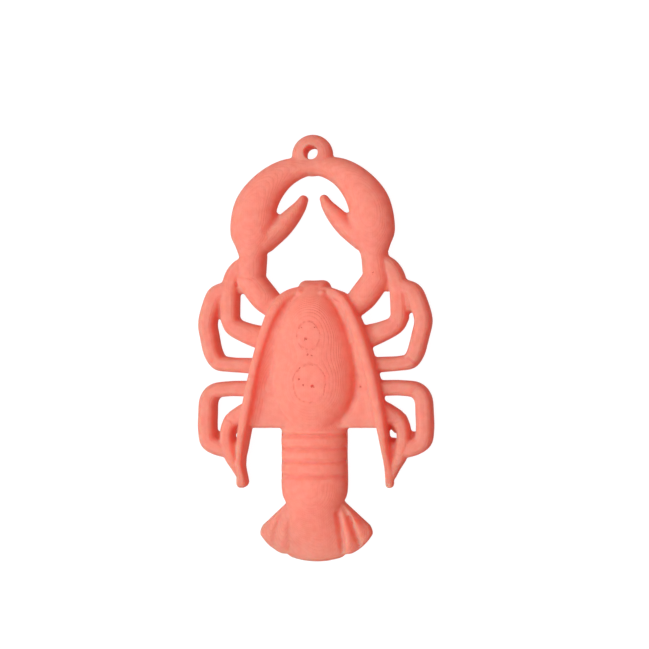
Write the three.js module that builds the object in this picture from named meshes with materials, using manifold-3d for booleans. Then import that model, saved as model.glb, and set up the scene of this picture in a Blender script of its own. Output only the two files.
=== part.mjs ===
// A lobster charm, printed in one piece in coral plastic. It lies on its flat belly with its back up,
// its claws towards +Y and its tail fan towards -Y, and it hangs by the ring where the claws meet.
// The origin is under the middle of the outline, on the flat belly. Millimetres, +Z up.
import * as THREE from 'three';
import { mergeVertices } from 'three/addons/utils/BufferGeometryUtils.js';
import Module from 'manifold-3d';

// ---- Driving dimensions -------------------------------------------------------------------------

const RING_CENTRE_Y = 38.25;
const RING_RADIUS = 4.15;
const RING_TOP = 4.9;
const HOLE_RADIUS = 1.4;
const HOLE_Y = 38.4;

const ARCH_Y = 35.95; // middle of the bar that joins the two claws
const WRIST = [12.2, 18.6];
const ELBOW = [12.5, 13.6];
const ARM_HALF_WIDTH = 2.7;
const ARM_TOP = 5.3;

const LEG_HALF_WIDTH = 1.68;
const LEG_TOP = 4.4;
const WEB_FLOOR = 1.3; // thickness of the floors that close the narrow ends of two gaps

const BODY_FRONT_Y = 12.4;
const BODY_REAR_Y = -15.7;
const BACK_TOP = 8.0; // highest point of the domed back
const FLANGE_TOP = 4.3; // plate round the foot of the dome

const FEELER_TOP = 6.5; // crest of the two long feelers laid back along the body
const FEELER_HALF_WIDTH = 0.95;

const TAIL_HALF_WIDTH = 6.6;
const TAIL_TOP = 6.1;
const TAIL_REAR_Y = -30.2;
const TAIL_GROOVES_Y = [-16.9, -19.4, -22.1, -24.9];
const GROOVE_DEPTH = 0.4;
const GROOVE_HALF_LENGTH = 0.75;

const FAN_EDGE_TOP = 1.5; // thickness of the fan along its rear edge

const CAP_RINGS = 3; // rows of facets over the round end of a limb

const CORAL = '#f28a76';

// ---- Making and joining solids ------------------------------------------------------------------

const wasm = await Module();
wasm.setup();

/** Turns a closed three.js geometry into a solid that can be joined and cut. */
function solidOf(geometry) {
  geometry.deleteAttribute('normal');
  geometry.deleteAttribute('uv');
  const merged = mergeVertices(geometry, 1e-5);
  return new wasm.Manifold(new wasm.Mesh({
    numProp: 3,
    vertProperties: new Float32Array(merged.attributes.position.array),
    triVerts: new Uint32Array(merged.index.array),
  }));
}

/** Joins a list of solids into one. */
function join(solids) {
  return solids.reduce((whole, piece) => whole.add(piece));
}

/**
 * A round-ended limb: a capsule bent along a smooth route over the floor.
 * Each station is [x, y, half width, top]. The widest line lies at `shoulder` of the height; above it
 * the section is a half ellipse, and below it the flank falls to `under` heights beneath the shoulder,
 * so that a large value gives an upright flank and a small one a round belly.
 */
function limb(stations, { sides = 10, steps = 6, shoulder = 0.5, under = 1.6, cap = 1, flat = 1 } = {}) {
  const route = new THREE.CatmullRomCurve3(stations.map(([x, y]) => new THREE.Vector3(x, y, 0)));
  const girth = new THREE.CatmullRomCurve3(stations.map(([, , w, top]) => new THREE.Vector3(w, top, 0)));
  const geometry = new THREE.CapsuleGeometry(1, 2, CAP_RINGS, sides, steps);
  const position = geometry.attributes.position;
  const square = (value) => Math.sign(value) * Math.abs(value) ** flat;
  for (let i = 0; i < position.count; i += 1) {
    const along = THREE.MathUtils.clamp(position.getY(i), -1, 1);
    const beyond = position.getY(i) - along;
    const t = (along + 1) / 2;
    const centre = route.getPoint(t);
    const tangent = route.getTangent(t);
    const { x: halfWidth, y: top } = girth.getPoint(t);
    const across = square(position.getX(i)) * halfWidth;
    const onward = beyond * halfWidth * cap;
    const lift = square(position.getZ(i));
    const rise = lift > 0 ? lift * (1 - shoulder) * top : lift * under * top;
    position.setXYZ(
      i,
      centre.x + tangent.x * onward + tangent.y * across,
      centre.y + tangent.y * onward - tangent.x * across,
      shoulder * top + rise,
    );
  }
  return solidOf(geometry);
}

/** The same stations on the other side of the body's middle line. */
function mirrored(stations) {
  return stations.map(([x, ...rest]) => [-x, ...rest]);
}

/** A limb made once on each side of the body. */
function pair(stations, options) {
  return join([limb(stations, options), limb(mirrored(stations), options)]);
}

// ---- Claws, ring and arms -----------------------------------------------------------------------

/** Both claws in one sweep, from wrist to wrist through the bar that joins their tips. */
function claws() {
  const half = [
    [...WRIST, 2.85, 5.2],
    [12.1, 21.1, 3.75, 5.7],
    [12.0, 23.9, 4.4, 6.3],
    [11.5, 27.9, 4.25, 6.4],
    [9.0, 32.0, 3.5, 6.0],
    [5.3, 34.9, 2.65, 5.2],
  ];
  const sweep = [...half, [0, ARCH_Y, 1.9, 4.6], ...mirrored(half).reverse()];
  return limb(sweep, { sides: 14, steps: 30, shoulder: 0.48, under: 0.62 });
}

/** The moving finger of each claw, free at its tip. */
function fingers() {
  const stations = [
    [9.9, 20.9, 2.4, 4.9],
    [6.0, 24.5, 2.1, 4.7],
    [3.6, 27.4, 1.4, 3.9],
    [2.0, 29.8, 0.8, 3.1],
  ];
  return pair(stations, { steps: 7, shoulder: 0.45, under: 1.0 });
}

/** The rounded eye that the charm hangs by, still without its hole. */
function ring() {
  const bead = new THREE.SphereGeometry(1, 24, 10);
  const bluntness = 0.6; // below 1, the rim stands more upright and the faces lie flatter
  const position = bead.attributes.position;
  for (let i = 0; i < position.count; i += 1) {
    const [x, y, z] = [position.getX(i), position.getY(i), position.getZ(i)];
    const rim = Math.hypot(x, y);
    const spread = rim > 0 ? (RING_RADIUS * rim ** bluntness) / rim : 0;
    position.setXYZ(i, x * spread, y * spread, (z * RING_TOP) / 2);
  }
  bead.translate(0, RING_CENTRE_Y, RING_TOP / 2);
  return solidOf(bead);
}

/** The upright bore through the ring. */
function hangingHole() {
  const bore = new THREE.CylinderGeometry(HOLE_RADIUS, HOLE_RADIUS, 4 * RING_TOP, 24);
  bore.rotateX(Math.PI / 2);
  bore.translate(0, HOLE_Y, 0);
  return solidOf(bore);
}

/** Each arm: a straight forearm under the claw and an upper arm slanting in to the body. */
function arms() {
  const w = ARM_HALF_WIDTH;
  const forearm = [[...WRIST, w, ARM_TOP - 0.2], [...ELBOW, w - 0.05, ARM_TOP]];
  const upperArm = [
    [...ELBOW, w - 0.1, ARM_TOP],
    [9.6, 10.4, w - 0.2, ARM_TOP],
    [6.4, 7.0, w - 0.2, ARM_TOP - 0.2],
  ];
  return join([pair(forearm, { steps: 1 }), pair(upperArm, { steps: 2 })]);
}

// ---- Legs ---------------------------------------------------------------------------------------

/** Four jointed legs a side. Each leg is a chain of straight or gently bent lengths. */
function legs() {
  const w = LEG_HALF_WIDTH;
  const top = LEG_TOP;
  const root = LEG_TOP - 0.6; // a leg's top where it runs in under the body's plate
  const lengths = [
    // first leg: out of the arm, down beside it and back in to the body
    [[13.4, 16.7, w, top], [15.8, 15.4, w, top], [17.0, 12.4, w, top], [17.15, 5.6, w, top]],
    [[17.1, 5.5, w, top], [13.8, 3.2, w + 0.15, top], [9.0, 1.9, w + 0.6, root]],
    // second leg: from the first one's knee round to the body
    [[18.2, 12.0, w, top], [20.4, 10.3, w, top], [21.7, 6.0, w, top], [21.5, 2.6, w, top],
      [20.2, -2.4, w, top]],
    [[20.2, -2.8, w - 0.15, top], [8.0, -3.3, w - 0.15, root]],
    // third leg: straight out, straight back and in again
    [[8.0, -7.9, w - 0.15, root], [20.6, -8.0, w - 0.2, top]],
    [[21.4, -9.1, w - 0.15, top], [22.0, -11.5, w, top], [22.0, -17.4, w, top]],
    [[21.9, -17.8, w - 0.1, top], [20.2, -19.6, w - 0.1, top], [16.8, -20.4, w - 0.2, top - 0.4]],
    // fourth leg: short, close beside the feeler
    [[8.0, -10.5, w + 0.1, root], [13.4, -12.2, w + 0.1, top], [16.5, -13.4, w, top]],
    [[16.7, -13.7, w - 0.1, top], [17.8, -16.0, w - 0.15, top], [17.6, -19.0, w - 0.2, top],
      [16.5, -21.9, w - 0.35, top - 0.5], [15.3, -24.4, 0.8, top - 1.2]],
    // webs: a thick one from the fourth leg's foot to the feeler, and thin floors beside that leg
    [[15.3, -20.0, w - 0.3, top - 1.0], [15.2, -23.6, 0.9, top - 1.4]],
    [[15.5, -17.9, 1.0, WEB_FLOOR], [15.4, -20.0, 1.0, WEB_FLOOR]],
    [[19.8, -17.9, 1.0, WEB_FLOOR], [19.6, -19.4, 1.0, WEB_FLOOR]],
  ];
  return join(lengths.map((stations) => pair(stations, { steps: stations.length + 1 })));
}

// ---- Body ---------------------------------------------------------------------------------------

/** The egg-shaped back, a little lower between its two gentle summits. */
function back() {
  const stations = [
    [0, 9.4, 4.7, 6.3],
    [0, 5.6, 6.3, 7.6],
    [0, 1.7, 7.3, BACK_TOP],
    [0, -2.2, 7.9, BACK_TOP - 0.12],
    [0, -6.2, 7.95, BACK_TOP],
    [0, -10.1, 7.3, BACK_TOP - 0.4],
    [0, -13.6, 5.5, BACK_TOP - 1.3],
  ];
  return limb(stations, { sides: 22, steps: 12, shoulder: 0.42, cap: 0.55 });
}

/** The thin plate that carries the dome, round at the head and straight across its rear edge. */
function flange() {
  const head = [7.4, 10.2];
  const waist = [10.6, 0];
  const rear = [13.0, BODY_REAR_Y];
  const bends = [[5.9, BODY_FRONT_Y], [9.0, 6.2], [11.8, -4.0]]; // where the edge is pulled to in between
  const mirror = ([x, y]) => [-x, y];
  const outline = new THREE.Shape();
  outline.moveTo(0, BODY_FRONT_Y);
  outline.quadraticCurveTo(...bends[0], ...head);
  outline.quadraticCurveTo(...bends[1], ...waist);
  outline.quadraticCurveTo(...bends[2], ...rear);
  outline.lineTo(...mirror(rear));
  outline.quadraticCurveTo(...mirror(bends[2]), ...mirror(waist));
  outline.quadraticCurveTo(...mirror(bends[1]), ...mirror(head));
  outline.quadraticCurveTo(...mirror(bends[0]), 0, BODY_FRONT_Y);
  const rounding = 0.5;
  const plate = new THREE.ExtrudeGeometry(outline, {
    depth: FLANGE_TOP - rounding,
    curveSegments: 5,
    bevelSize: rounding,
    bevelThickness: rounding,
    bevelOffset: -rounding,
    bevelSegments: 2,
  });
  return solidOf(plate);
}

/** The blunt nose under the front of the dome, with a bump to each side of its middle. */
function nose() {
  return join([-1, 1].map((side) => {
    const bump = new THREE.SphereGeometry(1, 12, 8);
    bump.scale(1.65, 1.7, 1.9);
    bump.translate(side * 1.25, 11.8, 2.0);
    return solidOf(bump);
  }));
}

/** The eyes, low beads beside the front of the dome. */
function eyes() {
  return join([-1, 1].map((side) => {
    const eye = new THREE.SphereGeometry(0.9, 10, 8);
    eye.translate(side * 2.75, 11.1, 4.5);
    return solidOf(eye);
  }));
}

/** The long feelers: ridges along the plate's rim that run free behind the body to unlike tips. */
function feelers() {
  const w = FEELER_HALF_WIDTH;
  const top = FEELER_TOP;
  const shared = [
    [2.6, 11.3, w + 0.2, top - 1.4],
    [5.2, 10.5, w + 0.3, top - 0.6],
    [7.0, 9.0, w + 0.3, top - 0.2],
    [8.2, 6.4, w + 0.3, top],
    [9.3, 3.4, w + 0.25, top],
    [11.35, -3.1, w, top],
    [12.6, -9.8, w, top],
    [13.55, -15.2, w - 0.05, top - 0.1],
  ];
  const straightTip = [
    [14.2, -19.8, w - 0.25, top - 0.8],
    [14.8, -23.4, w - 0.25, top - 1.9],
    [14.95, -26.8, w - 0.2, top - 3.1],
  ];
  const dropTip = [
    [14.4, -19.0, w - 0.2, top - 0.8],
    [15.1, -22.3, w - 0.3, top - 1.5],
    [14.65, -26.7, w + 0.15, top - 2.3],
  ];
  const options = { sides: 10, steps: 18, shoulder: 0.6, under: 0.9 };
  return join([
    limb([...shared, ...straightTip], options),
    limb(mirrored([...shared, ...dropTip]), options),
  ]);
}

// ---- Tail ---------------------------------------------------------------------------------------

/** The tail, ringed by grooves and narrowing a little before the fan. */
function tail() {
  const grooveAt = (y) => TAIL_GROOVES_Y
    .map((groove) => Math.max(0, 1 - Math.abs(y - groove) / GROOVE_HALF_LENGTH))
    .reduce((sum, share) => sum + share * GROOVE_DEPTH, 0);
  const rows = TAIL_GROOVES_Y.flatMap((y) => [y + GROOVE_HALF_LENGTH, y, y - GROOVE_HALF_LENGTH]);
  const stations = [BODY_REAR_Y + 1, ...rows, -27.6, -29.0, TAIL_REAR_Y].map((y) => {
    const taper = 0.8 * THREE.MathUtils.smoothstep(-y, 27.6, -TAIL_REAR_Y);
    return [0, y, TAIL_HALF_WIDTH - taper - grooveAt(y) * 0.4, TAIL_TOP - grooveAt(y)];
  });
  return limb(stations, { sides: 18, steps: stations.length - 1, shoulder: 0.35, cap: 0.25, flat: 0.85 });
}

/** The fan: a broad middle lobe and two narrower lobes a side, thinning to the rear edge. */
function fan() {
  const middle = [
    [0, -28.5, 5.3, TAIL_TOP - 0.2],
    [0, -32.0, 5.1, TAIL_TOP - 0.8],
    [0, -36.5, 5.0, 3.6],
    [0, -40.1, 5.1, FAN_EDGE_TOP],
  ];
  const inner = [
    [3.6, -31.5, 1.4, 4.8],
    [5.5, -35.0, 1.8, 3.7],
    [6.7, -38.2, 2.4, FAN_EDGE_TOP + 0.1],
  ];
  const outer = [
    [4.6, -32.0, 1.2, 4.6],
    [7.2, -34.2, 1.75, 3.5],
    [8.8, -36.5, 2.5, FAN_EDGE_TOP + 0.2],
  ];
  return join([
    limb(middle, { sides: 16, steps: 6, cap: 0.45, flat: 0.85 }),
    pair(inner, { steps: 4 }),
    pair(outer, { steps: 4 }),
  ]);
}

// ---- The whole charm ----------------------------------------------------------------------------

/** Everything below the belly plane, cut away to leave the charm a flat underside. */
function belowBelly() {
  const depth = 40;
  const slab = new THREE.BoxGeometry(120, 120, depth);
  slab.translate(0, 0, -depth / 2);
  return solidOf(slab);
}

const charmSolid = join([
  claws(), fingers(), ring(), arms(), legs(), flange(), back(), nose(), eyes(), feelers(), tail(), fan(),
])
  .subtract(belowBelly())
  .subtract(hangingHole());

const { vertProperties, triVerts } = charmSolid.getMesh();
const charmGeometry = new THREE.BufferGeometry();
charmGeometry.setAttribute('position', new THREE.BufferAttribute(vertProperties, 3));
charmGeometry.setIndex(new THREE.BufferAttribute(triVerts, 1));
charmGeometry.computeVertexNormals();

const coralPlastic = new THREE.MeshStandardMaterial({ color: CORAL, roughness: 0.62, metalness: 0 });
const charm = new THREE.Mesh(charmGeometry, coralPlastic);
charm.name = 'lobster_charm';

const model = new THREE.Group();
model.add(charm);

export default model;
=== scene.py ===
"""A lobster charm, printed in one piece in coral plastic, lying on its belly on a pale table.

Every form is written in millimetres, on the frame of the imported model: the belly at height 0, the
claws and their ring towards +Y, the tail fan towards -Y.
"""

import math

import bpy
import numpy as np
from mathutils import Matrix, Vector


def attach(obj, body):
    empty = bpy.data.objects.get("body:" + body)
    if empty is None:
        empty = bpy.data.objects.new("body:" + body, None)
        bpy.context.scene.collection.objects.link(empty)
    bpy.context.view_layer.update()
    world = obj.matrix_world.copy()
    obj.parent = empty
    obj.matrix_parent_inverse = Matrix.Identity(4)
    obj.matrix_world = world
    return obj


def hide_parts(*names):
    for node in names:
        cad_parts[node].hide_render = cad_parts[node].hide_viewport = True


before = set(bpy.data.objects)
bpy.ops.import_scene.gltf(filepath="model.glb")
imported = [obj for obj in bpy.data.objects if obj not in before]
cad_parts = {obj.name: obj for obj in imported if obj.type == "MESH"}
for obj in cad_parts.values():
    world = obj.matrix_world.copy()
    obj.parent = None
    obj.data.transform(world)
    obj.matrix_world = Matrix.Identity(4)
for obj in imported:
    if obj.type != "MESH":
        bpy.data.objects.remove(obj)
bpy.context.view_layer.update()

# ---- Claws ------------------------------------------------------------------------------------------
# Two stout claws curve up from the wrists and meet in a bar under the ring, and each has a thinner
# moving finger inside it, free at its tip. In the print they are one swell of solid plastic, domed on
# top and rounded in underneath.

CLAW_HALF = [  # stations from the wrist on: x, y, half width and top
    (12.25, 18.4, 2.65, 5.2),
    (12.2, 20.3, 3.4, 5.5),
    (12.15, 22.0, 4.22, 5.9),
    (12.05, 24.3, 4.5, 6.3),
    (11.4, 28.2, 4.22, 6.4),
    (9.0, 32.0, 3.48, 6.0),
    (5.3, 34.9, 2.65, 5.2),
]
CLAW_BAR = (0.0, 36.05, 1.78, 4.6)
FINGER = [
    (9.9, 21.4, 2.3, 5.2),
    (6.65, 23.95, 2.05, 4.8),
    (4.9, 25.75, 1.8, 4.5),
    (3.85, 26.95, 1.55, 4.1),
    (2.8, 28.3, 1.2, 3.6),
    (2.1, 29.6, 0.85, 3.1),
]
CLAW_WEB = [(7.6, 25.4, 1.1, 3.8), (7.1, 26.0, 0.8, 3.2)]  # between the finger and the palm

forms = []  # the closed skins that the print fuses, as (points, faces) in millimetres
carved = [  # lines drawn into the print's top: start, end, depth and half width
    ((-6.9, 25.7), (-9.1, 23.2), 0.28, 0.9),  # between each finger and its palm
    ((6.9, 25.7), (9.1, 23.2), 0.2, 0.9),
]


def smooth_route(stations, share):
    """Values on a smooth curve through the stations, at the shares 0 to 1 of the way along them.
    Between two stations each column is the cubic that has, at both ends, the slope of the parabola
    through the three nearest stations, which are spaced by the square root of their distance."""
    ends = 2 * stations[0] - stations[1], 2 * stations[-1] - stations[-2]
    knots = np.vstack([ends[0], stations, ends[1]])
    gap = np.hypot(*np.diff(knots[:, :2], axis=0).T)[:, None] ** 0.5
    slope = np.diff(knots, axis=0) / gap
    bend = slope[:-1] - (knots[2:] - knots[:-2]) / (gap[:-1] + gap[1:]) + slope[1:]
    at = np.clip(share * (len(stations) - 1), 0, len(stations) - 1.000001)
    i = at.astype(int)
    s = (at - i)[:, None]
    leave, arrive = bend[i] * gap[i + 1], bend[i + 1] * gap[i + 1]
    return ((1 + 2 * s) * (1 - s) ** 2 * stations[i] + s * (1 - s) ** 2 * leave
            + s ** 2 * (3 - 2 * s) * stations[i + 1] - s ** 2 * (1 - s) * arrive)


def skin(grid):
    """The closed skin over a grid of points: rows run along the form from pole to pole, columns run
    round it, and each of the first and last rows is one point."""
    rows, columns = grid.shape[:2]
    points = np.vstack([grid[0, :1], grid[1:-1].reshape(-1, 3), grid[-1, :1]])
    ring = 1 + np.arange((rows - 2) * columns).reshape(rows - 2, columns)
    after = np.roll(ring, -1, axis=1)
    quads = np.stack([ring[:-1], ring[1:], after[1:], after[:-1]], axis=-1).reshape(-1, 4)
    first = np.stack([np.zeros(columns, int), ring[0], after[0]], axis=-1)
    last = np.stack([ring[-1], np.full(columns, len(points) - 1), after[-1]], axis=-1)
    return points, quads.tolist() + first.tolist() + last.tolist()


def limb(stations, shoulder=0.5, under=1.6, cap=1.0, flat=1.0, rows=10, cap_rows=9, columns=40):
    """A round-ended bar laid along a smooth route over the table, as one skin.
    Each station is (x, y, half width, top). The widest line lies at the share `shoulder` of the top.
    Above it the section is half an ellipse, and below it half an ellipse `under` tops deep, so that a
    large value makes an upright flank. `flat` under 1 squares the section, and `cap` is how far the
    round ends reach, in half widths. There are `rows` rows between two stations."""
    stations = np.array(stations, float)
    turn = np.linspace(0, math.pi / 2, cap_rows)
    middle = np.linspace(0, 1, rows * (len(stations) - 1) + 1)[1:-1]
    share = np.concatenate([turn * 0, middle, turn * 0 + 1])
    onward = np.concatenate([-np.cos(turn), middle * 0, np.sin(turn)])[:, None]
    girth = np.concatenate([np.sin(turn), middle * 0 + 1, np.cos(turn)])[:, None]
    centre = smooth_route(stations, share)
    nudge = 0.001  # a short step along the route, which gives its direction
    ahead = smooth_route(stations, share + nudge) - smooth_route(stations, share - nudge)
    ahead = ahead[:, :2] / np.hypot(*ahead[:, :2].T)[:, None]
    around = np.linspace(0, 2 * math.pi, columns, endpoint=False)
    across, lift = girth * np.cos(around), girth * np.sin(around)
    across, lift = (np.sign(v) * np.abs(v) ** flat for v in (across, lift))
    half_width, top = centre[:, 2:3], centre[:, 3:4]
    x = centre[:, :1] + (ahead[:, :1] * onward * cap + ahead[:, 1:] * across) * half_width
    y = centre[:, 1:2] + (ahead[:, 1:] * onward * cap - ahead[:, :1] * across) * half_width
    z = shoulder * top + np.where(lift > 0, lift * (1 - shoulder), lift * under) * top
    return skin(np.stack([x, y, z], axis=-1))


def mirrored(stations):
    """The same stations on the other side of the charm's middle line."""
    return [(-x, *rest) for x, *rest in stations]


forms.append(limb(CLAW_HALF + [CLAW_BAR] + mirrored(CLAW_HALF)[::-1],
                  shoulder=0.48, under=0.62, flat=0.88))
for finger in (FINGER, mirrored(FINGER)):
    forms.append(limb(finger, shoulder=0.45, under=1.0))
forms += [limb(CLAW_WEB), limb(mirrored(CLAW_WEB))]

# ---- Ring -------------------------------------------------------------------------------------------
# The eye that the charm hangs by is a blunt bead on the bar between the claws, with an upright hole
# whose rims are softly rounded.

RING_CENTRE_Y = 38.15
RING_RADIUS = 4.12
RING_TOP = 4.4
HOLE_Y = 38.65
HOLE_RADIUS = 1.38
HOLE_LEAN = 0.09  # towards the tail, per millimetre down
RING_COLUMNS = 64
RING_ROOT = [(3.3, 36.7, 1.2, 3.6), (4.5, 36.2, 1.1, 3.4)]


def ring_bead(bluntness=0.42, rows=33):
    """A bead: height and distance from the axis run round a half circle, and the distance is raised to
    the power `bluntness`, which makes the rim upright and the faces flat."""
    fall = np.linspace(0, math.pi, rows)[:, None]
    around = np.linspace(2 * math.pi, 0, RING_COLUMNS, endpoint=False)
    reach = RING_RADIUS * np.clip(np.sin(fall), 0, 1) ** bluntness
    z = RING_TOP / 2 * (1 - np.cos(fall)) + 0 * around
    return skin(np.stack([reach * np.cos(around), RING_CENTRE_Y + reach * np.sin(around), z], axis=-1))


def hole_plug(depth=4.0, flare=0.15, rows=160):
    """What the hole takes away: a spool that leans a little, as wide as the hole in the middle. Close
    to each of the bead's faces it opens by `flare` along a quarter circle, and it runs on to `depth`
    past them."""
    z = np.concatenate([[-depth], np.linspace(-depth, RING_TOP + depth, rows), [RING_TOP + depth]])
    outside = np.abs(z - RING_TOP / 2) - (RING_TOP / 2 - 2 * flare)
    bell = flare - np.sqrt(np.clip(flare ** 2 - np.clip(outside, 0, flare) ** 2, 0, None))
    radius = HOLE_RADIUS + bell
    radius[[0, -1]] = 0
    around = np.linspace(2 * math.pi, 0, RING_COLUMNS, endpoint=False)
    x = radius[:, None] * np.cos(around)
    y = HOLE_Y - HOLE_LEAN * (RING_TOP - z[:, None]) + radius[:, None] * np.sin(around)
    return skin(np.stack([x, y, z[:, None] + 0 * around], axis=-1))


forms += [ring_bead(), limb(RING_ROOT), limb(mirrored(RING_ROOT))]

# ---- Arms -------------------------------------------------------------------------------------------
# Under each claw a short straight forearm drops to the elbow, and a thicker upper arm slants in from
# there to the front of the body.

ARM_HALF_WIDTH = 2.6
ARM_TOP = 5.3
WRIST = (12.3, 18.4)
ELBOW = (12.65, 13.65)
FOREARM = [
    (*WRIST, ARM_HALF_WIDTH, ARM_TOP - 0.2),
    (*ELBOW, ARM_HALF_WIDTH, ARM_TOP),
]
UPPER_ARM = [
    (*ELBOW, ARM_HALF_WIDTH, ARM_TOP),
    (9.85, 10.05, ARM_HALF_WIDTH + 0.05, ARM_TOP - 0.1),
    (8.4, 8.6, ARM_HALF_WIDTH - 0.2, ARM_TOP - 0.7),
]

for bar in (FOREARM, UPPER_ARM):
    forms += [limb(bar, flat=0.88), limb(mirrored(bar), flat=0.88)]
carved += [
    ((-15.3, 13.1), (-15.2, 12.7), 0.6, 0.5),  # a gap left beside the left elbow
    ((-14.4, 14.4), (-11.5, 14.1), 0.15, 0.45),  # and a crease across it
]

# ---- Legs -------------------------------------------------------------------------------------------
# Four jointed legs a side, each a chain of straight or gently bent bars with upright flanks and round
# tops. Thin webs of plastic close the narrow ends of the gaps round the last leg, and low fillings sit
# in the corners beside the others.

LEG = 1.68  # half width
LEG_TOP = 4.4
ROOT_TOP = LEG_TOP - 0.6  # where a leg runs in under the plate of the body
LEG_BARS = [
    # first leg: out of the arm, down beside it and back in to the body
    [(13.4, 16.9, LEG, LEG_TOP), (15.0, 16.1, LEG, LEG_TOP), (16.15, 14.7, LEG, LEG_TOP),
     (16.85, 12.6, LEG, LEG_TOP), (17.05, 9.5, LEG, LEG_TOP), (17.1, 6.1, LEG, LEG_TOP)],
    [(17.05, 5.9, LEG, LEG_TOP), (16.3, 4.55, LEG + 0.1, LEG_TOP), (13.9, 3.3, LEG + 0.3, LEG_TOP),
     (9.0, 1.75, LEG + 0.85, ROOT_TOP)],
    # second leg: from the first one's knee round to the body
    [(18.0, 11.9, LEG - 0.1, LEG_TOP), (19.8, 11.0, LEG, LEG_TOP), (20.95, 8.6, LEG, LEG_TOP),
     (21.75, 5.2, LEG, LEG_TOP), (21.4, 2.6, LEG, LEG_TOP), (20.6, -0.8, LEG - 0.05, LEG_TOP),
     (19.4, -2.6, LEG - 0.15, LEG_TOP), (17.2, -3.05, LEG - 0.24, LEG_TOP),
     (14.0, -3.25, LEG - 0.18, LEG_TOP), (8.0, -3.7, LEG + 0.1, ROOT_TOP)],
    # third leg: straight out, straight back and in again
    [(7.5, -7.87, LEG - 0.3, ROOT_TOP), (13.0, -7.9, LEG - 0.15, LEG_TOP),
     (17.6, -7.9, LEG - 0.19, LEG_TOP), (20.35, -8.4, LEG - 0.12, LEG_TOP),
     (21.55, -9.9, LEG - 0.05, LEG_TOP), (21.86, -13.0, LEG, LEG_TOP), (21.88, -16.4, LEG, LEG_TOP),
     (21.45, -18.4, LEG, LEG_TOP), (20.0, -19.4, LEG - 0.05, LEG_TOP),
     (17.6, -20.1, LEG - 0.1, LEG_TOP - 0.3)],
    # fourth leg: short, close beside the feeler
    [(7.0, -10.6, LEG - 0.2, ROOT_TOP), (13.4, -12.3, LEG + 0.15, LEG_TOP + 0.1),
     (15.9, -13.6, LEG, LEG_TOP)],
    [(16.9, -14.3, LEG - 0.2, LEG_TOP), (17.6, -15.8, LEG - 0.36, LEG_TOP),
     (17.75, -17.3, LEG - 0.4, LEG_TOP), (17.45, -19.4, LEG - 0.36, LEG_TOP),
     (16.95, -21.4, LEG - 0.42, LEG_TOP - 0.3), (15.95, -23.6, 0.95, LEG_TOP - 0.8),
     (15.35, -25.2, 0.7, LEG_TOP - 1.4)],
    # webs: a thick one from the fourth leg's foot to the feeler, and thin floors beside that leg
    [(15.6, -19.8, LEG - 0.2, LEG_TOP - 0.9), (15.3, -22.6, 0.95, LEG_TOP - 1.3)],
    [(15.45, -18.6, 0.9, 1.3), (15.45, -20.0, 1.0, 1.3)],
    [(19.75, -17.6, 1.1, 1.5), (19.6, -19.4, 1.1, 1.5)],
    # low fillings: between the arm and the first leg, the first leg and the second, the feeler and
    # the fourth leg, and the plate and the tail
    [(14.7, 12.4, 1.1, 3.6), (14.5, 11.8, 0.75, 3.2)],
    [(18.9, 9.0, 1.2, 2.6), (19.0, 7.6, 0.8, 2.2)],
    [(15.5, -15.1, 0.85, 1.8), (16.05, -16.3, 0.5, 1.6)],
    [(6.1, -15.4, 0.65, 4.0), (6.4, -15.35, 0.5, 3.8)],
]
RIGHT_SEAM = [(18.5, 11.6, 1.3, 4.2), (19.0, 7.95, 1.0, 3.9)]  # the first two right legs touch
LEFT_SEAM = [(-18.95, 8.5, 1.0, 2.4), (-19.0, 6.6, 0.75, 2.2)]  # and the left ones only lower down

for bar in LEG_BARS:
    forms += [limb(bar, flat=0.7), limb(mirrored(bar), flat=0.7)]
forms += [limb(RIGHT_SEAM), limb(LEFT_SEAM)]
carved += [  # mitres across the knees
    ((19.4, -1.9), (20.9, -3.1), 0.25, 0.5),
    ((-19.9, -1.8), (-20.7, -3.0), 0.15, 0.5),
    ((19.7, -8.5), (21.3, -7.3), 0.25, 0.5),
    ((15.0, -15.0), (18.0, -13.6), 0.3, 0.5),
    ((-15.0, -15.0), (-18.0, -13.6), 0.2, 0.5),
    ((17.0, 4.6), (18.4, 3.6), 0.15, 0.5),
]

# ---- Body -------------------------------------------------------------------------------------------
# An egg-shaped back with two low summits rises out of a thin plate, which is round at the head and cut
# straight across behind. At the front a blunt nose and two small eyes look out from under it, and a
# groove runs down the back's right side.

BACK = [
    (0, 12.0, 2.3, 4.5),
    (0, 10.3, 3.6, 5.85),
    (0, 8.7, 4.7, 6.8),
    (0, 6.6, 5.75, 7.6),
    (0.05, 3.0, 7.15, 7.98),
    (0.15, -1.75, 8.0, 7.76),
    (0.2, -5.9, 8.2, 8.08),
    (0.15, -10.0, 7.6, 7.88),
    (0.05, -13.0, 6.0, 7.05),
    (0, -14.8, 4.4, 6.4),
]
UNDER_TABLE = -1.0  # where the flat forms end, before the belly is cut level
PLATE_TOP = 4.3
PLATE_FRONT_Y = 12.05
PLATE_REAR_Y = -15.6
PLATE_CORNERS = [(7.3, 10.0), (10.8, 0.0), (13.0, PLATE_REAR_Y)]
PLATE_BENDS = [(5.6, PLATE_FRONT_Y), (9.2, 6.2), (12.0, -4.0)]
NOSE = [(-1.6, 11.95, 1.6, 4.0), (0, 11.9, 1.6, 4.0), (1.6, 11.95, 1.6, 4.0)]
RIGHT_EYE = (2.25, 11.0, 4.9)
LEFT_EYE = (-2.3, 11.05, 4.55)
EYE_SIZE = (0.7, 0.5, 0.6)
SKIRT_SWELL = (10.6, -8.6, 3.8)  # where the hind legs lift the plate, on both sides
SKIRT_SWELL_SIZE = (2.6, 1.7, 0.75)


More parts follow.
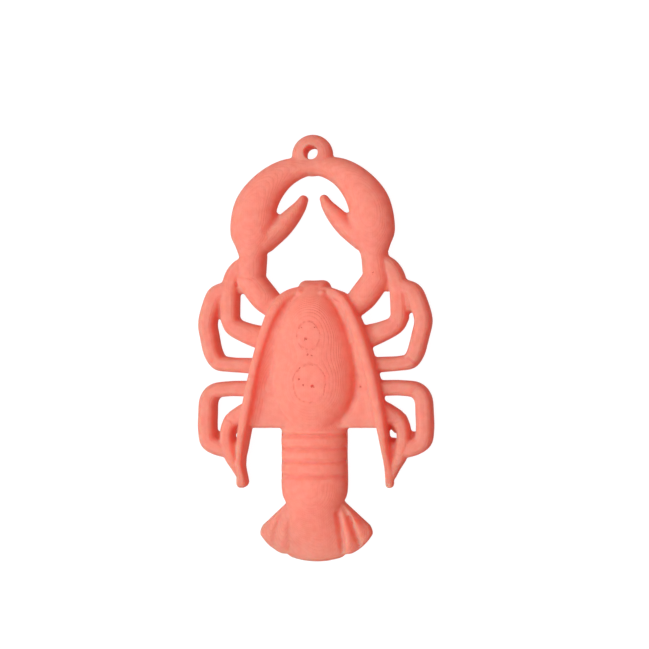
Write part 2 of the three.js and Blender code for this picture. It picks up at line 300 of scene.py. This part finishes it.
def plate_outline(steps=14, rear_steps=20):
    """The plate's edge, anticlockwise from beside the middle of its front: on each side three arcs,
    each the parabola between two corners that is pulled to the bend between them."""
    s = np.linspace(0, 1, steps, endpoint=False)[:, None]
    corners = np.array([(0, PLATE_FRONT_Y)] + PLATE_CORNERS)
    arcs = [(1 - s) ** 2 * a + 2 * s * (1 - s) * np.array(pull) + s ** 2 * b
            for a, b, pull in zip(corners, corners[1:], PLATE_BENDS)]
    rear_x = np.linspace(PLATE_CORNERS[-1][0], 0, rear_steps, endpoint=False)
    rear = np.stack([rear_x, rear_x * 0 + PLATE_REAR_Y], axis=-1)
    right = np.vstack([*arcs, rear])
    left = right[1:][::-1] * (-1, 1)
    return np.vstack([right, [[0, PLATE_REAR_Y]], left])[::-1]


def plate(rounding=0.5, heart=(0.0, -3.0), wall_row=2.0):
    """The plate: its edge goes straight up, turns in over a quarter circle and closes flat over the
    heart of the body."""
    edge = plate_outline()
    inward = np.array(heart) - edge
    inward /= np.hypot(*inward.T)[:, None]
    turn = np.linspace(0, math.pi / 2, 6)
    step_in = np.concatenate([[0, 0], rounding * (1 - np.cos(turn))])
    height = np.concatenate([[UNDER_TABLE, wall_row], PLATE_TOP - rounding * (1 - np.sin(turn))])
    walls = edge + step_in[:, None, None] * inward
    closing = np.linspace(0, 1, 24)[:, None, None]
    roof = walls[-1] + closing * (np.array(heart) - walls[-1])
    rows = np.concatenate([walls[:1] * 0 + heart, walls, roof[1:]])
    z = np.concatenate([[UNDER_TABLE], height, np.full(len(roof) - 1, PLATE_TOP)])
    return skin(np.dstack([rows, np.broadcast_to(z[:, None], rows.shape[:2])]))


def ball(centre, size, rows=17, columns=32):
    """An upright ellipsoid with its half sizes given along X, Y and Z."""
    fall = np.linspace(0, math.pi, rows)[:, None]
    around = np.linspace(2 * math.pi, 0, columns, endpoint=False)
    unit = np.stack([np.sin(fall) * np.cos(around), np.sin(fall) * np.sin(around),
                     -np.cos(fall) + 0 * around], axis=-1)
    return skin(unit * size + centre)


forms += [limb(BACK, shoulder=0.42, cap=0.45, flat=0.9), plate(), limb(NOSE, shoulder=0.25)]
forms += [ball(eye, EYE_SIZE) for eye in (RIGHT_EYE, LEFT_EYE)]
forms += [ball(swell, SKIRT_SWELL_SIZE) for swell in (SKIRT_SWELL, *mirrored([SKIRT_SWELL]))]
carved += [  # the groove beside the back, from the front to the rear
    ((8.2, 0.5), (8.95, -5.0), 0.5, 0.9),
    ((8.95, -5.0), (8.6, -9.0), 0.6, 1.2),
    ((8.6, -9.0), (7.2, -12.4), 0.6, 0.9),
    ((7.2, -12.4), (5.6, -14.4), 0.4, 0.8),
]

# ---- Feelers ----------------------------------------------------------------------------------------
# Two long feelers are laid back from the eyes along the rim of the plate as raised ridges, each with a
# bank of plastic between it and the back. They run free behind the body, where the right one ends
# straight and the left one in a drop.

FEELER = 0.95  # half width
FEELER_TOP = 6.9
RIGHT_FEELER = [
    (1.7, 11.55, FEELER - 0.15, FEELER_TOP - 2.6),
    (4.1, 10.95, FEELER - 0.1, FEELER_TOP - 1.7),
    (5.75, 10.05, FEELER - 0.1, FEELER_TOP - 1.0),
    (6.9, 8.7, FEELER - 0.05, FEELER_TOP - 0.5),
    (8.05, 6.4, FEELER + 0.1, FEELER_TOP - 0.1),
    (9.2, 3.6, FEELER + 0.2, FEELER_TOP),
    (11.4, -3.2, FEELER + 0.2, FEELER_TOP),
    (12.85, -9.9, FEELER + 0.12, FEELER_TOP - 0.1),
    (13.8, -15.3, FEELER, FEELER_TOP - 0.3),
    (14.4, -19.9, FEELER - 0.23, FEELER_TOP - 1.0),
    (14.75, -23.1, FEELER - 0.25, FEELER_TOP - 2.6),
    (14.88, -26.72, FEELER - 0.17, FEELER_TOP - 4.2),
]
LEFT_FEELER = [
    (-1.7, 11.55, FEELER - 0.1, FEELER_TOP - 2.6),
    (-3.9, 11.0, FEELER, FEELER_TOP - 1.7),
    (-5.5, 10.1, FEELER + 0.05, FEELER_TOP - 1.0),
    (-6.6, 8.8, FEELER + 0.1, FEELER_TOP - 0.5),
    (-7.9, 6.5, FEELER + 0.15, FEELER_TOP - 0.1),
    (-9.0, 3.7, FEELER + 0.08, FEELER_TOP),
    (-11.1, -3.1, FEELER - 0.05, FEELER_TOP),
    (-12.6, -9.8, FEELER + 0.05, FEELER_TOP - 0.1),
    (-13.75, -15.2, FEELER, FEELER_TOP - 0.3),
    (-14.45, -19.5, FEELER - 0.2, FEELER_TOP - 0.8),
    (-14.9, -22.8, FEELER - 0.38, FEELER_TOP - 2.2),
    (-14.7, -26.55, FEELER + 0.08, FEELER_TOP - 3.0),
]
BANK = [  # x, y, how far it reaches inwards, and its heights at the feeler and at its inner end
    (4.2, 10.4, 1.0, 4.9, 4.5),
    (6.2, 9.1, 1.4, 5.4, 4.9),
    (7.8, 6.3, 1.8, 6.1, 5.3),
    (8.95, 3.2, 2.4, 6.45, 5.5),
    (10.35, -1.0, 3.2, 6.5, 4.9),
    (11.7, -5.4, 3.9, 6.2, 4.2),
    (12.55, -10.0, 4.2, 5.8, 4.2),
    (13.5, -14.9, 4.0, 5.6, 4.2),
]
BANK_BASE = 1.0  # the height of its underside, inside the plate
RIGHT_BANK_DROP = (0.7, 0.7, 1.3, 1.5, 1.25, 0.7, 0.4, 0.3)  # how much lower the right one lies
RIGHT_BANK_FALL = 0.1  # the least that it falls on its way inwards


def capped(grid):
    """The grid with one more row at each end, gathered at the middle of the row beside it."""
    ends = grid.mean(axis=1, keepdims=True) + 0 * grid
    return np.concatenate([ends[:1], grid, ends[-1:]])


def bank(side, rows=60, columns=9):
    """The bank inside a feeler: on each row along it a hollow slope, half a parabola, runs inwards from
    under the feeler, square to the route, and closes along its base."""
    stations = np.array(BANK)
    if side > 0:
        stations[:, 3] -= RIGHT_BANK_DROP
        stations[:, 4] = np.minimum(stations[:, 3], stations[:, 4]) - RIGHT_BANK_FALL
    line = smooth_route(stations, np.linspace(0, 1, rows))
    ahead = np.gradient(line[:, :2], axis=0)
    ahead /= np.hypot(*ahead.T)[:, None]
    inward = np.stack([ahead[:, 1], -ahead[:, 0]], axis=-1)
    share = np.concatenate([np.linspace(0, 1, columns), np.linspace(1, 0, columns)])[:, None]
    spot = line[:, None, :2] + share * (line[:, 2:3] * inward)[:, None]
    slope = line[:, 4:5] + (1 - share[:columns, 0]) ** 2 * (line[:, 3:4] - line[:, 4:5])
    height = np.concatenate([slope, 0 * slope + BANK_BASE], axis=1)
    grid = capped(np.dstack([side * spot[..., 0], spot[..., 1], height]))
    return skin(grid if side > 0 else grid[:, ::-1])


for feeler in (RIGHT_FEELER, LEFT_FEELER):
    forms.append(limb(feeler, shoulder=0.7, under=0.9, flat=0.6))
forms += [bank(1), bank(-1)]

# ---- Tail -------------------------------------------------------------------------------------------
# The tail is a broad low barrel ringed by shallow grooves, the first of them the deepest. Past a slight
# waist it runs on, lower and lower, as the middle lobe of the fan.

TAIL = [
    (-0.1, -13.4, 6.0, 4.6),
    (-0.1, -16.0, 6.5, 5.85),
    (-0.1, -21.0, 6.52, 6.1),
    (-0.1, -27.6, 6.55, 6.1),
    (-0.1, -29.2, 6.3, 6.0),
    (-0.1, -30.6, 5.67, 5.8),
    (-0.05, -32.2, 5.35, 5.2),
    (0, -34.6, 5.2, 4.1),
    (0, -37.6, 5.2, 2.7),
    (0, -40.6, 5.05, 1.5),
]
TAIL_GROOVES_Y = (-17.0, -19.6, -22.15, -25.05)
TAIL_GROOVE_REACH = 7.0  # to each side
TAIL_GROOVE = (0.72, 0.8)  # depth and half width
FIRST_TAIL_GROOVE = (0.95, 0.55)
FIRST_TAIL_GROOVE_X = (-5.5, 5.8)

forms.append(limb(TAIL, shoulder=0.35, cap=0.32, flat=0.95))
carved += [((-TAIL_GROOVE_REACH, y), (TAIL_GROOVE_REACH, y), *TAIL_GROOVE) for y in TAIL_GROOVES_Y]
carved.append((*((x, TAIL_GROOVES_Y[0]) for x in FIRST_TAIL_GROOVE_X), *FIRST_TAIL_GROOVE))

# ---- Fan --------------------------------------------------------------------------------------------
# Beside the middle lobe two pleats a side spread out from the waist. They thin towards one shallow arc
# along the rear, with small notches where the pleats meet.

FAN_HEART_Y = -25.3  # where the fan's rays meet
FAN_START = 3.0  # how far from there the rays begin
FAN_REACH = 17.0
FAN_SPREAD = 47.7  # degrees to each side
FAN_EDGE = 1.2  # thickness along the rear edge
FAN_EDGE_ROUNDING = 0.6  # how far inwards the edge is rounded
FAN_EDGE_FALL = 0.5  # and how far down
FAN_ROOT = 5.0  # height where the pleats leave the tail
SIDE_LOBE_FROM = 28.0  # degrees, where the reach begins to shrink towards the side
SIDE_LOBE_FALL = 1.0
FAN_TIP = 4.0  # degrees at the side over which the corner is rounded
FAN_TIP_ROUNDING = 1.3
NOTCH = 21.0  # degrees
NOTCH_WIDTH = 2.2
NOTCH_DEPTH = 0.35
FAN_TILT = 0.2  # how much shorter the right side is, and how much longer the left one
PLEAT_DEPTH = 0.95
PLEAT_DEPTH_TILT = 0.45  # how much deeper the pleats are on the right, and shallower on the left
PLEAT_DEPTH_TURN = 18.0  # degrees over which that comes about
PLEAT_FULL_WIDTH = 8.0  # degrees: narrower pleats are shallower
PLEAT_START = 0.25  # where the pleats rise out of the tail, as shares of the way outwards
PLEAT_RISE = 0.4
PLEAT_END_FALL = 0.6  # how much of their depth they lose towards the rear edge
PLEAT_CREST = 0.75  # the power under 1 that moves a side pleat's crest towards the middle
NARROWEST_INNER_PLEAT = 2.0
NARROWEST_OUTER_PLEAT = 0.5
FIRST_GROOVE = (42.0, 18.6)  # degrees from the middle at the root and at the rear edge
SECOND_GROOVE = (55.0, 31.3)


def fan(rays=121, steps=41):
    """The pleated fan, on a grid of rays by steps outwards. The top falls along a ray from the root's
    height to the edge's, and over each pleat it bulges by the sine of the share across that pleat, on
    the side pleats with the crest nearer the middle. The bulge grows from nothing past the root and
    loses depth with the fourth power of the share outwards. The rays' reach shrinks towards the sides, is
    rounded off as a parabola at the corners and dips as a bell curve at the notches."""
    angle = np.linspace(-FAN_SPREAD, FAN_SPREAD, rays)[:, None]
    share = np.linspace(0, 1, steps)
    turned = np.abs(angle)
    first = FIRST_GROOVE[0] + (FIRST_GROOVE[1] - FIRST_GROOVE[0]) * share
    second = SECOND_GROOVE[0] + (SECOND_GROOVE[1] - SECOND_GROOVE[0]) * share
    second = np.minimum(second, FAN_SPREAD - NARROWEST_OUTER_PLEAT)
    first = np.minimum(first, second - NARROWEST_INNER_PLEAT)
    width = np.where(turned < second, second - first, FAN_SPREAD - second)
    across = np.where(turned < first, turned / first / 2 + 0.5,
                      (turned - np.where(turned < second, first, second)) / width)
    across = np.where(turned < first, across, across ** PLEAT_CREST)
    depth = PLEAT_DEPTH + PLEAT_DEPTH_TILT * np.clip(angle / PLEAT_DEPTH_TURN, -1, 1)
    bulge = depth * np.clip(width / PLEAT_FULL_WIDTH, 0, 1) * np.sin(math.pi * across)
    bulge = bulge * np.clip((share - PLEAT_START) / PLEAT_RISE, 0, 1) * (1 - PLEAT_END_FALL * share ** 4)
    sideways = np.clip((turned - SIDE_LOBE_FROM) / (FAN_SPREAD - SIDE_LOBE_FROM), 0, 1)
    cornering = np.clip((turned - FAN_SPREAD + FAN_TIP) / FAN_TIP, 0, 1)
    reach = FAN_REACH - SIDE_LOBE_FALL * sideways ** 1.6 - FAN_TIP_ROUNDING * cornering ** 2
    reach = reach - NOTCH_DEPTH * np.exp(-((turned - NOTCH) / NOTCH_WIDTH) ** 2)
    reach = reach - FAN_TILT * angle / FAN_SPREAD
    distance = FAN_START + share * (reach - FAN_START)
    over_edge = np.clip((distance - reach + FAN_EDGE_ROUNDING) / FAN_EDGE_ROUNDING, 0, 1)
    top = (FAN_EDGE + (FAN_ROOT - FAN_EDGE) * (1 - share) ** 1.5 * np.cos(np.radians(turned)) + bulge
           - FAN_EDGE_FALL + FAN_EDGE_FALL * np.sqrt(1 - over_edge ** 2))
    radians = np.radians(angle)
    x, y = distance * np.sin(radians), FAN_HEART_Y - distance * np.cos(radians)
    upper = np.stack([x, y, top], axis=-1)
    lower = np.stack([x, y, top * 0 + UNDER_TABLE], axis=-1)
    grid = np.concatenate([upper, lower[:, ::-1]], axis=1)
    return skin(capped(grid)[::-1])


forms.append(fan())
carved += [  # deeper lines along the two grooves on the right
    ((4.8, -32.6), (5.45, -39.8), 0.55, 0.9),
    ((7.0, -33.4), (8.65, -38.6), 0.5, 0.85),
]

# ---- The print --------------------------------------------------------------------------------------
# The printer lays all the forms down as one body of coral plastic, in layers of 0.2 mm. Inner corners
# come out softly filled, the belly is flat from the bed, and the layers show as contour lines where
# the surface is nearly level.

VOXEL = 0.27
FILLET_RADIUS = 1.0
FILLET_ROUNDS = 160
MILLIMETRE = 0.001
SUMMIT = 7.9  # the last full layer
SKEW = 0.006  # how much the right side lies further forward, per millimetre from the middle
SLIP = [(-16, 0.0), (-8, 0.0), (-3, -0.3), (0.5, -0.35), (5.5, 0.0), (12, -0.1), (28, -0.25)]  # Y and X
SLIP_FROM = 10.0  # millimetres right of the middle
SLIP_OVER = 8.0  # from there to where the slip is full
SLAB_HALF = 60.0
SLAB_DEPTH = 30.0
SHARP_ANGLE = 50.0  # degrees between the faces on a sharp edge


def mesh_object(name, skins):
    """One object with the given skins, from millimetres to metres, each moved past the last one's
    numbering."""
    starts = np.cumsum([0] + [len(points) for points, _ in skins])
    points = np.vstack([points for points, _ in skins]) * MILLIMETRE
    faces = [[i + start for i in face] for start, (_, group) in zip(starts, skins) for face in group]
    mesh = bpy.data.meshes.new(name)
    mesh.from_pydata(points.tolist(), [], faces)
    made = bpy.data.objects.new(name, mesh)
    bpy.context.scene.collection.objects.link(made)
    return made


def apply_modifier(thing, kind, **settings):
    """Puts a modifier on the object and keeps its result as the object's mesh."""
    modifier = thing.modifiers.new(kind.title(), kind)
    for name, value in settings.items():
        setattr(modifier, name, value)
    graph = bpy.context.evaluated_depsgraph_get()
    result = bpy.data.meshes.new_from_object(thing.evaluated_get(graph))
    thing.modifiers.clear()
    thing.data = result


def read_mesh(mesh):
    """The points, the quads' corners and the edges' ends, as arrays."""
    points = np.zeros(3 * len(mesh.vertices), np.float32)
    mesh.vertices.foreach_get("co", points)
    corners = np.zeros(len(mesh.loops), np.int32)
    mesh.loops.foreach_get("vertex_index", corners)
    ends = np.zeros(2 * len(mesh.edges), np.int32)
    mesh.edges.foreach_get("vertices", ends)
    return points.reshape(-1, 3).astype(float), corners.reshape(-1, 4), ends.reshape(-1, 2)


def spread(index, values, count):
    """Adds up each row of values at its point's number."""
    return np.stack([np.bincount(index, values[:, k], count) for k in range(3)], axis=-1)


def fill_corners(mesh, pace=0.5):
    """Rounds the inner corners. In each round a point moves towards the mean of its neighbours, by
    `pace` times as much as that mean stands further out than it would in a hollow of the fillet's
    radius."""
    points, quads, ends = read_mesh(mesh)
    count = len(points)
    degree = np.bincount(ends.ravel(), minlength=count)[:, None]
    allowed = (VOXEL * MILLIMETRE) ** 2 / (4 * FILLET_RADIUS * MILLIMETRE)
    for _ in range(FILLET_ROUNDS):
        a, b, c, d = (points[quads[:, k]] for k in range(4))
        face_normal = np.cross(c - a, d - b)
        normal = sum(spread(quads[:, k], face_normal, count) for k in range(4))
        normal /= np.linalg.norm(normal, axis=1, keepdims=True) + 1e-20
        near = spread(ends[:, 0], points[ends[:, 1]], count) + spread(ends[:, 1], points[ends[:, 0]], count)
        pull = near / degree - points
        hollow = (pull * normal).sum(axis=1, keepdims=True)
        points += np.where(hollow > allowed, pace * (1 - allowed / np.maximum(hollow, 1e-12)), 0) * pull
    mesh.vertices.foreach_set("co", points.astype(np.float32).ravel())
    mesh.update()


def carve_and_settle(mesh, least_rise=0.1, lean=0.3):
    """Draws the carved lines and lets the print settle. A point that faces up by more than
    `least_rise` sinks by the raised cosine of its distance from a line, and also moves in against its
    normal by `lean` times as much. Then no point stays above the last full layer, the right side's
    outer parts slip sideways a little, and the whole is skewed forward to the right."""
    count = len(mesh.vertices)
    points, normals = np.zeros(3 * count, np.float32), np.zeros(3 * count, np.float32)
    mesh.vertices.foreach_get("co", points)
    mesh.vertices.foreach_get("normal", normals)
    points, normals = points.reshape(-1, 3) / MILLIMETRE, normals.reshape(-1, 3)
    sunk = np.zeros(count)
    for start, end, depth, half_width in carved:
        start, end = np.array(start), np.array(end)
        along = np.clip((points[:, :2] - start) @ (end - start) / ((end - start) ** 2).sum(), 0, 1)
        apart = np.hypot(*(points[:, :2] - start - along[:, None] * (end - start)).T)
        nearness = np.clip(1 - apart / half_width, 0, 1)
        sunk = np.maximum(sunk, depth * (1 - np.cos(math.pi * nearness)) / 2)
    sinking = (sunk * (normals[:, 2] > least_rise))[:, None]
    points -= sinking * (normals * (lean, lean, 0) + (0, 0, 1))
    points[:, 2] = np.minimum(points[:, 2], SUMMIT)
    x, y = points[:, 0].copy(), points[:, 1].copy()
    points[:, 0] += np.interp(y, *zip(*SLIP)) * np.clip((x - SLIP_FROM) / SLIP_OVER, 0, 1)
    points[:, 1] += SKEW * x
    mesh.vertices.foreach_set("co", (points * MILLIMETRE).ravel())
    mesh.update()


charm = mesh_object("charm", forms)
apply_modifier(charm, "REMESH", mode="VOXEL", voxel_size=VOXEL * MILLIMETRE)
fill_corners(charm.data)
carve_and_settle(charm.data)

slab_sides = (-SLAB_HALF, SLAB_HALF)
belly_slab = mesh_object("belly_slab", [
    (np.array([(x, y, z) for z in (-SLAB_DEPTH, 0.0) for y in slab_sides for x in slab_sides]),
     [(0, 2, 3, 1), (4, 5, 7, 6), (0, 1, 5, 4), (1, 3, 7, 5), (3, 2, 6, 7), (2, 0, 4, 6)]),
])
hole = mesh_object("hole", [hole_plug()])
for cutter in (hole, belly_slab):
    apply_modifier(charm, "BOOLEAN", operation="DIFFERENCE", solver="MANIFOLD", object=cutter)
    bpy.data.objects.remove(cutter)
charm.data.name = "charm"
charm.data.shade_smooth()
charm.data.set_sharp_from_angle(angle=math.radians(SHARP_ANGLE))

LAYER = 0.2
LAYER_RISER = 0.45  # the share of a layer over which the surface rises
TOPSIDE = (0.7, 0.9)  # upward share of the normal from which the layers show, and show in full
WOBBLE_SCALE = 0.35  # this and the next scales are lumps of the noise per millimetre
GRAIN_SCALE = 2.2
RAGGED_SCALE = 2.5
BROKEN_SCALE = 0.9
MOTTLE_SCALE = 0.8
SEAM = (0.3, 0.5)  # from the middle of a layer, as shares of it
TERRACE_SHARE = 0.14  # how much of the layers' steps the surface still shows
SEAM_DEPTH = 0.012
STREAK_WIDTH = 0.45
STREAK_WAVES = 0.314  # the wave texture's scale for streaks of one millimetre
STREAK_DEPTH = 0.012
GRAIN_DEPTH = 0.03
LAST_RIM = 7.8  # the height of the last layer's broken edge
LAST_RIM_WOBBLE = 0.12
LAST_RIM_WIDTH = (0.01, 0.045)  # of its floor and of its whole, in height
LAST_RIM_DEPTH = 0.06
LAST_RIM_GAPS = (0.44, 0.6)  # where the noise leaves gaps in it
PIT_DEPTH = 0.25
PIT_FLOOR = 0.3  # as a share of the radius
PIT_HEIGHTS = (3.0, 4.0)  # no pits under the first, all of them over the second
PITS = [  # x, y and radius of the small holes left in the top layers of the back
    (-1.41, 4.26, 0.204), (1.3, 4.26, 0.238), (-0.54, 2.03, 0.272), (-0.15, -1.17, 0.272),
    (0.72, -1.27, 0.221), (-1.9, -5.92, 0.221), (-0.97, -6.89, 0.272), (0.78, -7.18, 0.425),
    (-1.7, -3.69, 0.187), (9.6, -7.4, 0.306), (12.39, 14.75, 0.221),
]
CORAL = (0.89, 0.275, 0.207, 1)
PALE_CORAL = (0.925, 0.315, 0.24, 1)
# painted shade: the dark coral that the pits, the seams and the last rim are darkened towards
PAINTED_SHADE_CORAL = (0.6, 0.04, 0.02, 1)
PIT_PAINTED_SHADE = 0.8  # how much of the dark coral of painted shade shows in the pits, the seams and the last rim
SEAM_PAINTED_SHADE = 0.05
LAST_RIM_PAINTED_SHADE = 0.22
PLASTIC = {
    "Roughness": 0.6,
    "Specular IOR Level": 0.3,
    "Subsurface Weight": 1.0,
    "Subsurface Radius": (1.0, 0.12, 0.07),
    "Subsurface Scale": 0.007,  # metres that red light goes through the plastic
}


class Wire:
    """An output of a shader node. Arithmetic with wires and numbers makes Math nodes."""

    def __init__(self, tree, socket):
        self.tree, self.socket = tree, socket

    def node(self, kind, settings, inputs, output=0):
        """A new node with the given settings, whose inputs are fed with wires or set to values."""
        made = self.tree.nodes.new(kind)
        for name, value in settings.items():
            setattr(made, name, value)
        for name, value in inputs.items():
            if isinstance(value, Wire):
                self.tree.links.new(value.socket, made.inputs[name])
            else:
                made.inputs[name].default_value = value
        return Wire(self.tree, made.outputs[output])

    def math(self, operation, *values):
        """A Math node with the given operation on the values."""
        return self.node("ShaderNodeMath", {"operation": operation}, dict(enumerate(values)))

    def vector_math(self, operation, other, output=0):
        """A Vector Math node with the given operation on this wire and the other value."""
        return self.node("ShaderNodeVectorMath", {"operation": operation}, {0: self, 1: other}, output)

    def noise(self, scale, detail=2.0, output=0):
        """A noise texture at this place. `scale` is about how many of its lumps fit in a millimetre."""
        inputs = {"Vector": self, "Scale": scale, "Detail": detail}
        return self.node("ShaderNodeTexNoise", {}, inputs, output)

    def __add__(self, other):
        return self.math("ADD", self, other)

    def __sub__(self, other):
        return self.math("SUBTRACT", self, other)

    def __rsub__(self, other):
        return self.math("SUBTRACT", other, self)

    def __mul__(self, other):
        return self.math("MULTIPLY", self, other)

    def __truediv__(self, other):
        return self.math("DIVIDE", self, other)

    __radd__, __rmul__ = __add__, __mul__

    def smooth(self, low, high):
        """0 below the low value, 1 above the high one, and an S-curve between them."""
        limits = {"Value": self, "From Min": low, "From Max": high}
        return self.node("ShaderNodeMapRange", {"interpolation_type": "SMOOTHSTEP"}, limits)


def finished(name, finish):
    """A new material whose Principled shader has the given values on its own sockets."""
    material = bpy.data.materials.new(name)
    material.use_nodes = True
    for socket, value in finish.items():
        material.node_tree.nodes["Principled BSDF"].inputs[socket].default_value = value
    return material


plastic = finished("coral_plastic", PLASTIC)
shader = plastic.node_tree.nodes["Principled BSDF"]
point = Wire(plastic.node_tree, plastic.node_tree.nodes.new("ShaderNodeTexCoord").outputs["Object"])
point = point.node("ShaderNodeVectorMath", {"operation": "SCALE"}, {0: point, "Scale": 1 / MILLIMETRE})
height = point.node("ShaderNodeSeparateXYZ", {}, {"Vector": point}, "Z")
facing = point.node("ShaderNodeNewGeometry", {}, {}, "True Normal")
facing = facing.node("ShaderNodeSeparateXYZ", {}, {"Vector": facing}, "Z")

# the layers: the height rises over the first part of each and stays level over the rest, with a faint
# seam between them, and they show only where the surface is nearly level
step = height.math("FRACT", height / LAYER)
terrace = (step.smooth(0.0, LAYER_RISER) - step) * LAYER
topside = facing.smooth(*TOPSIDE)
wobble = point.noise(WOBBLE_SCALE)
streaks = point.node("ShaderNodeTexWave", {"wave_type": "BANDS", "bands_direction": "X"},
                     {"Vector": point, "Scale": STREAK_WAVES / STREAK_WIDTH, "Distortion": 0.6})
seam = step.math("ABSOLUTE", step - 0.5).smooth(*SEAM) * topside
relief = terrace * topside * TERRACE_SHARE - seam * SEAM_DEPTH + streaks * wobble * topside * STREAK_DEPTH
relief = relief + point.noise(GRAIN_SCALE, 4.0) * GRAIN_DEPTH

# the pits, whose outlines a noise makes ragged, and the broken edge of the last layer
ragged = point.noise(RAGGED_SCALE, output="Color").vector_math("SUBTRACT", (0.5, 0.5, 0.5))
ragged = point.vector_math("ADD", ragged)
from_above = ragged.vector_math("MULTIPLY", (1, 1, 0))
pitted = 0
for x, y, radius in PITS:
    apart = from_above.vector_math("DISTANCE", (x, y, 0), "Value")
    pitted = (1 - apart.smooth(radius * PIT_FLOOR, radius)) + pitted
pitted = pitted * height.smooth(*PIT_HEIGHTS)
broken = point.noise(BROKEN_SCALE).smooth(*LAST_RIM_GAPS)
uneven = height - LAST_RIM + (wobble - 0.5) * LAST_RIM_WOBBLE
rim = (1 - height.math("ABSOLUTE", uneven).smooth(*LAST_RIM_WIDTH)) * broken * topside
relief = relief - pitted * PIT_DEPTH - rim * LAST_RIM_DEPTH
bump = relief.node("ShaderNodeBump", {}, {"Height": relief, "Distance": MILLIMETRE, "Strength": 1.0})
plastic.node_tree.links.new(bump.socket, shader.inputs["Normal"])

# the colour: a mottled coral, with painted shade in the pits, the seams and the last rim that darkens it
# towards a dark coral
tint = {"Factor": point.noise(MOTTLE_SCALE, 5.0).smooth(0.3, 0.7), 6: CORAL, 7: PALE_CORAL}
colour = point.node("ShaderNodeMix", {"data_type": "RGBA"}, tint, 2)
# painted shade: how far the colour goes towards the dark coral in the pits, the seams and the last rim
painted_shade = pitted * PIT_PAINTED_SHADE + seam * SEAM_PAINTED_SHADE + rim * LAST_RIM_PAINTED_SHADE
colour = point.node("ShaderNodeMix", {"data_type": "RGBA"}, {"Factor": painted_shade, 6: colour, 7: PAINTED_SHADE_CORAL}, 2)
plastic.node_tree.links.new(colour.socket, shader.inputs["Base Color"])
charm.data.materials.clear()
charm.data.materials.append(plastic)

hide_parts("lobster_charm")
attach(charm, "root")

# ---- Table, light and camera ------------------------------------------------------------------------
# The charm lies on a plain white table. One large soft light stands to its left, and a warm glow comes
# from all round. The camera looks down, tilted a little from the right.

TABLE_DROP = 0.05  # below the belly, so that the two faces don't share a plane
TABLE_HALF = 1.5  # metres
PAPER = {
    "Base Color": (0.08, 0.08, 0.08, 1),
    "Roughness": 0.9,
    "Emission Color": (1, 1, 1, 1),
    "Emission Strength": 0.97,
}
KEY_PLACE = (-0.4, -0.03, 0.8)  # metres
KEY_SIZE = 0.75
KEY_POWER = 8.5
KEY_COLOUR = (0.71, 1.0, 1.02)
GLOW_COLOUR = (1, 0.48, 0.42, 1)
GLOW_STRENGTH = 0.5
VIEW_DISTANCE = 300.0
VIEW_TILT = math.radians(10.7)  # towards +X
VIEW_ROLL = math.radians(0.37)
VIEW_AIM = (1.75, 4.74, 0.0)
VIEW_WIDTH = 129.15  # what the picture spans at the table
SENSOR_WIDTH = 36.0

table_mesh = bpy.data.meshes.new("table")
table_corners = [(-1, -1), (1, -1), (1, 1), (-1, 1)]
table_points = [(x * TABLE_HALF, y * TABLE_HALF, -TABLE_DROP * MILLIMETRE) for x, y in table_corners]
table_mesh.from_pydata(table_points, [], [(0, 1, 2, 3)])
table = bpy.data.objects.new("table", table_mesh)
bpy.context.scene.collection.objects.link(table)
table.data.materials.append(finished("white_paper", PAPER))
table.visible_diffuse = False
table.visible_glossy = False

lamp = bpy.data.lights.new("key", "AREA")
lamp.size = KEY_SIZE
lamp.energy = KEY_POWER
lamp.color = KEY_COLOUR
key = bpy.data.objects.new("key", lamp)
key_turn = Vector(KEY_PLACE).to_track_quat("Z", "Y").to_matrix().to_4x4()
key.matrix_world = Matrix.Translation(KEY_PLACE) @ key_turn
bpy.context.scene.collection.objects.link(key)

world = bpy.data.worlds.new("studio")
world.use_nodes = True
world.node_tree.nodes["Background"].inputs["Color"].default_value = GLOW_COLOUR
world.node_tree.nodes["Background"].inputs["Strength"].default_value = GLOW_STRENGTH
bpy.context.scene.world = world
bpy.context.scene.view_settings.view_transform = "Standard"

backward = Vector((math.sin(VIEW_TILT), 0, math.cos(VIEW_TILT)))
sideways = Vector((math.cos(VIEW_TILT), 0, -math.sin(VIEW_TILT)))
upward = Vector((0, 1, 0))
right = sideways * math.cos(VIEW_ROLL) - upward * math.sin(VIEW_ROLL)
up = upward * math.cos(VIEW_ROLL) + sideways * math.sin(VIEW_ROLL)
lens = bpy.data.cameras.new("camera")
lens.sensor_width = SENSOR_WIDTH
lens.lens = SENSOR_WIDTH * VIEW_DISTANCE / VIEW_WIDTH
lens.clip_start = 0.01
camera = bpy.data.objects.new("camera", lens)
stand = (Vector(VIEW_AIM) + backward * VIEW_DISTANCE) * MILLIMETRE
camera.matrix_world = Matrix.Translation(stand) @ Matrix((right, up, backward)).transposed().to_4x4()
bpy.context.scene.collection.objects.link(camera)
bpy.context.scene.camera = camera
